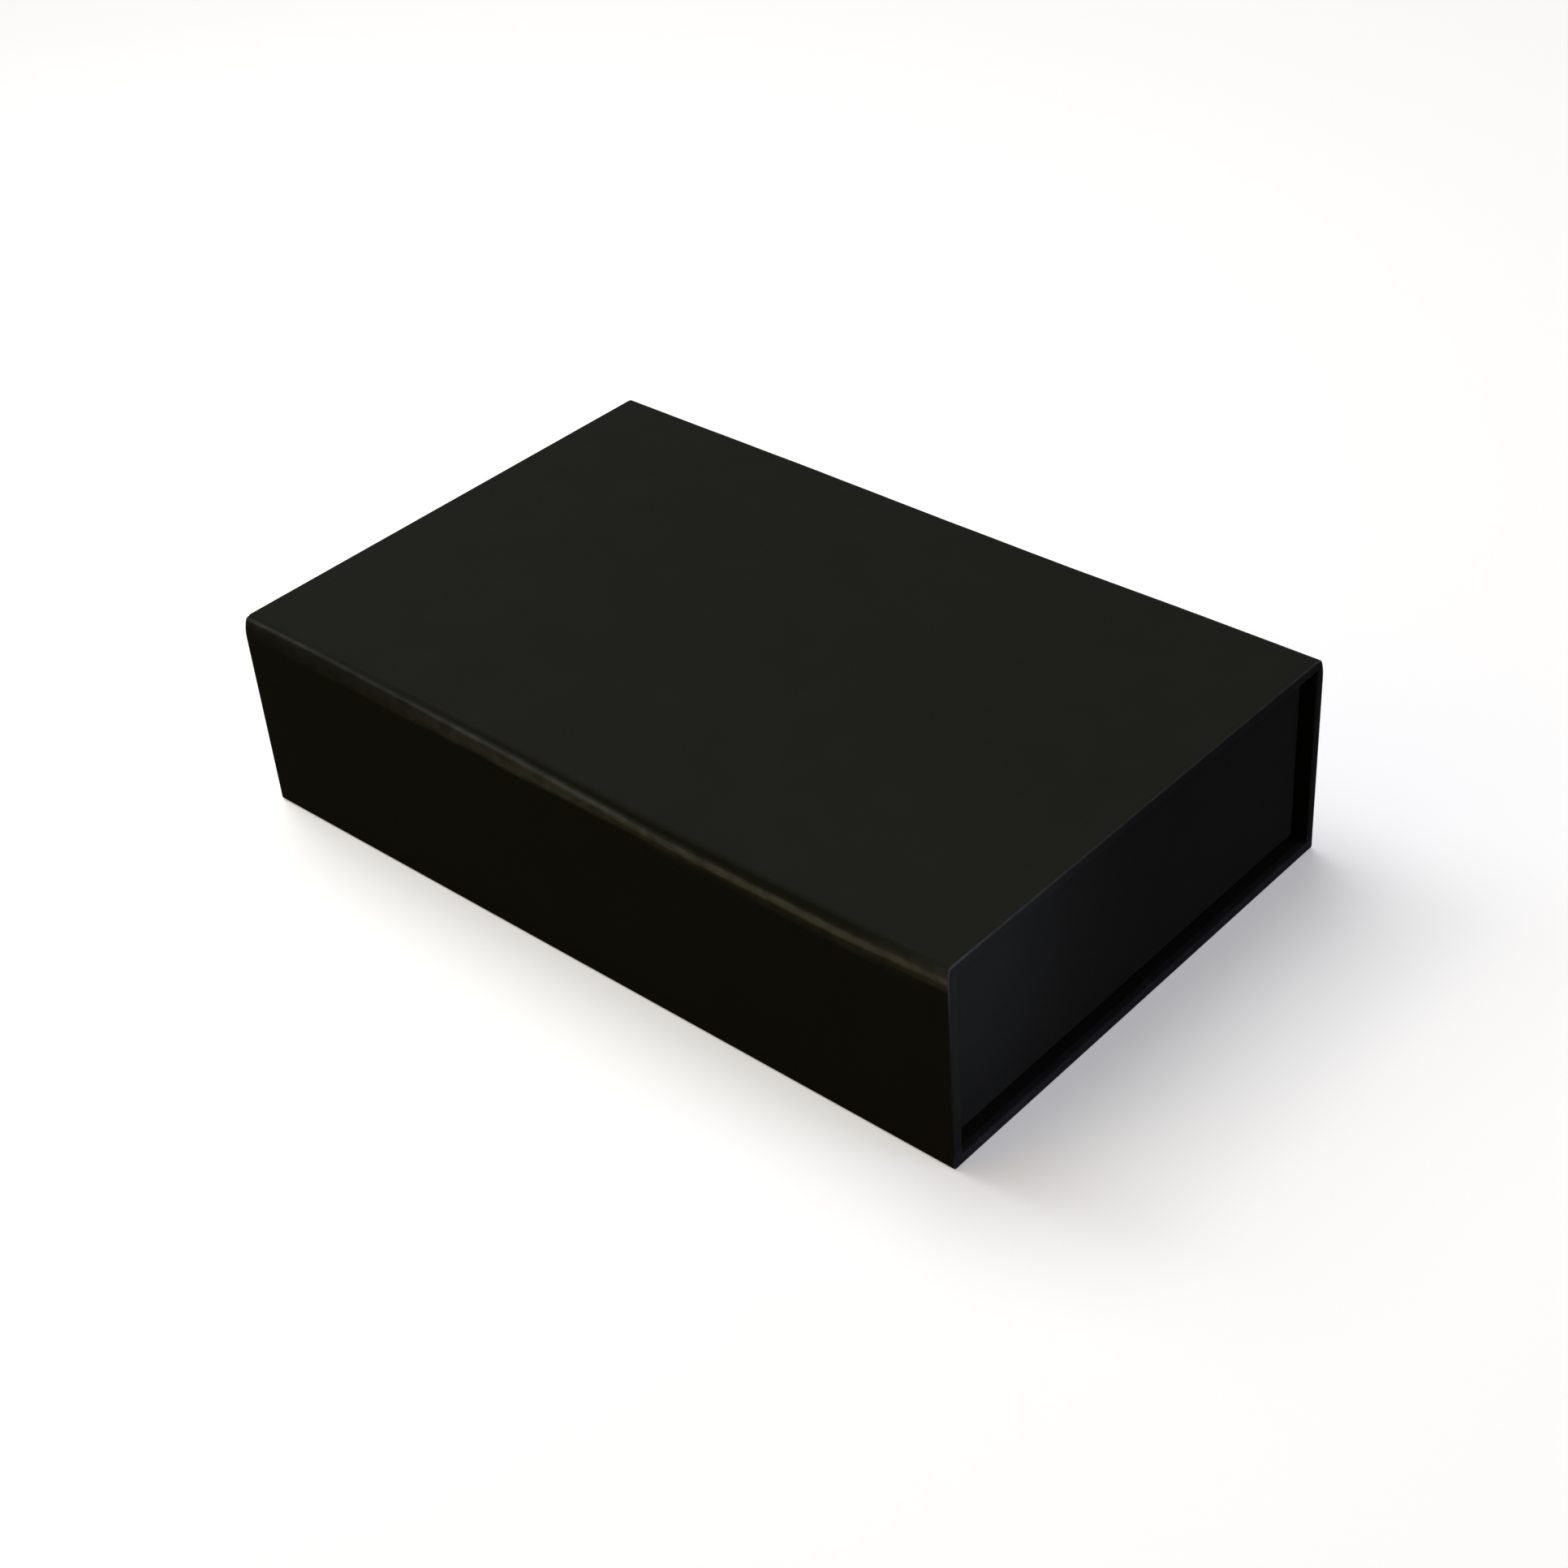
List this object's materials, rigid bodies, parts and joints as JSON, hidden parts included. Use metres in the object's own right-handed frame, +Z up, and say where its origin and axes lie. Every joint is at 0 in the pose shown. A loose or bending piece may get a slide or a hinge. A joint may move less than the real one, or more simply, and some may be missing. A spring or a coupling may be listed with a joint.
{
  "type": "sliding drawer gift box",
  "caption": "Low rectangular gift box in matte black paper: a rigid board sleeve open at both short ends, with a plain tray drawer that pushes through it.",
  "frame": {"origin": "centre of the rectangle that the sleeve's base sheet stands on, on the supporting surface", "axes": "+X along the box towards the open mouth that the picture shows, which is the direction the drawer slides; +Y to the right when facing that mouth; +Z up"},
  "size_m": [0.24, 0.15, 0.06],
  "materials": {
    "cover_paper": "matte",
    "lining_paper": "matte",
    "greyboard": "matte",
    "kraft_tape": "satin"
  },
  "bodies": {
    "sleeve": {"sleeve_base_sheet": "cover_paper", "sleeve_base_board": "greyboard", "sleeve_left_board": "greyboard", "sleeve_right_board": "greyboard", "sleeve_top_board": "greyboard", "sleeve_tape_base_left": "kraft_tape", "sleeve_tape_base_right": "kraft_tape", "sleeve_tape_top_left": "kraft_tape", "sleeve_tape_top_right": "kraft_tape", "sleeve_wrap": "cover_paper", "sleeve_liner": "lining_paper"},
    "drawer": {"drawer_base_board": "greyboard", "drawer_front_board": "greyboard", "drawer_rear_board": "greyboard", "drawer_left_board": "greyboard", "drawer_right_board": "greyboard", "drawer_tape_front_left": "kraft_tape", "drawer_tape_front_right": "kraft_tape", "drawer_tape_rear_left": "kraft_tape", "drawer_tape_rear_right": "kraft_tape", "drawer_wrap": "cover_paper", "drawer_base_sheet": "cover_paper", "drawer_side_liner": "lining_paper", "drawer_base_liner": "lining_paper"}
  },
  "joints": [
    {"name": "drawer_slide", "type": "slide", "parent": "sleeve", "child": "drawer", "axis": [1, 0, 0], "range_m": [-0.19, 0.19]}
  ]
}
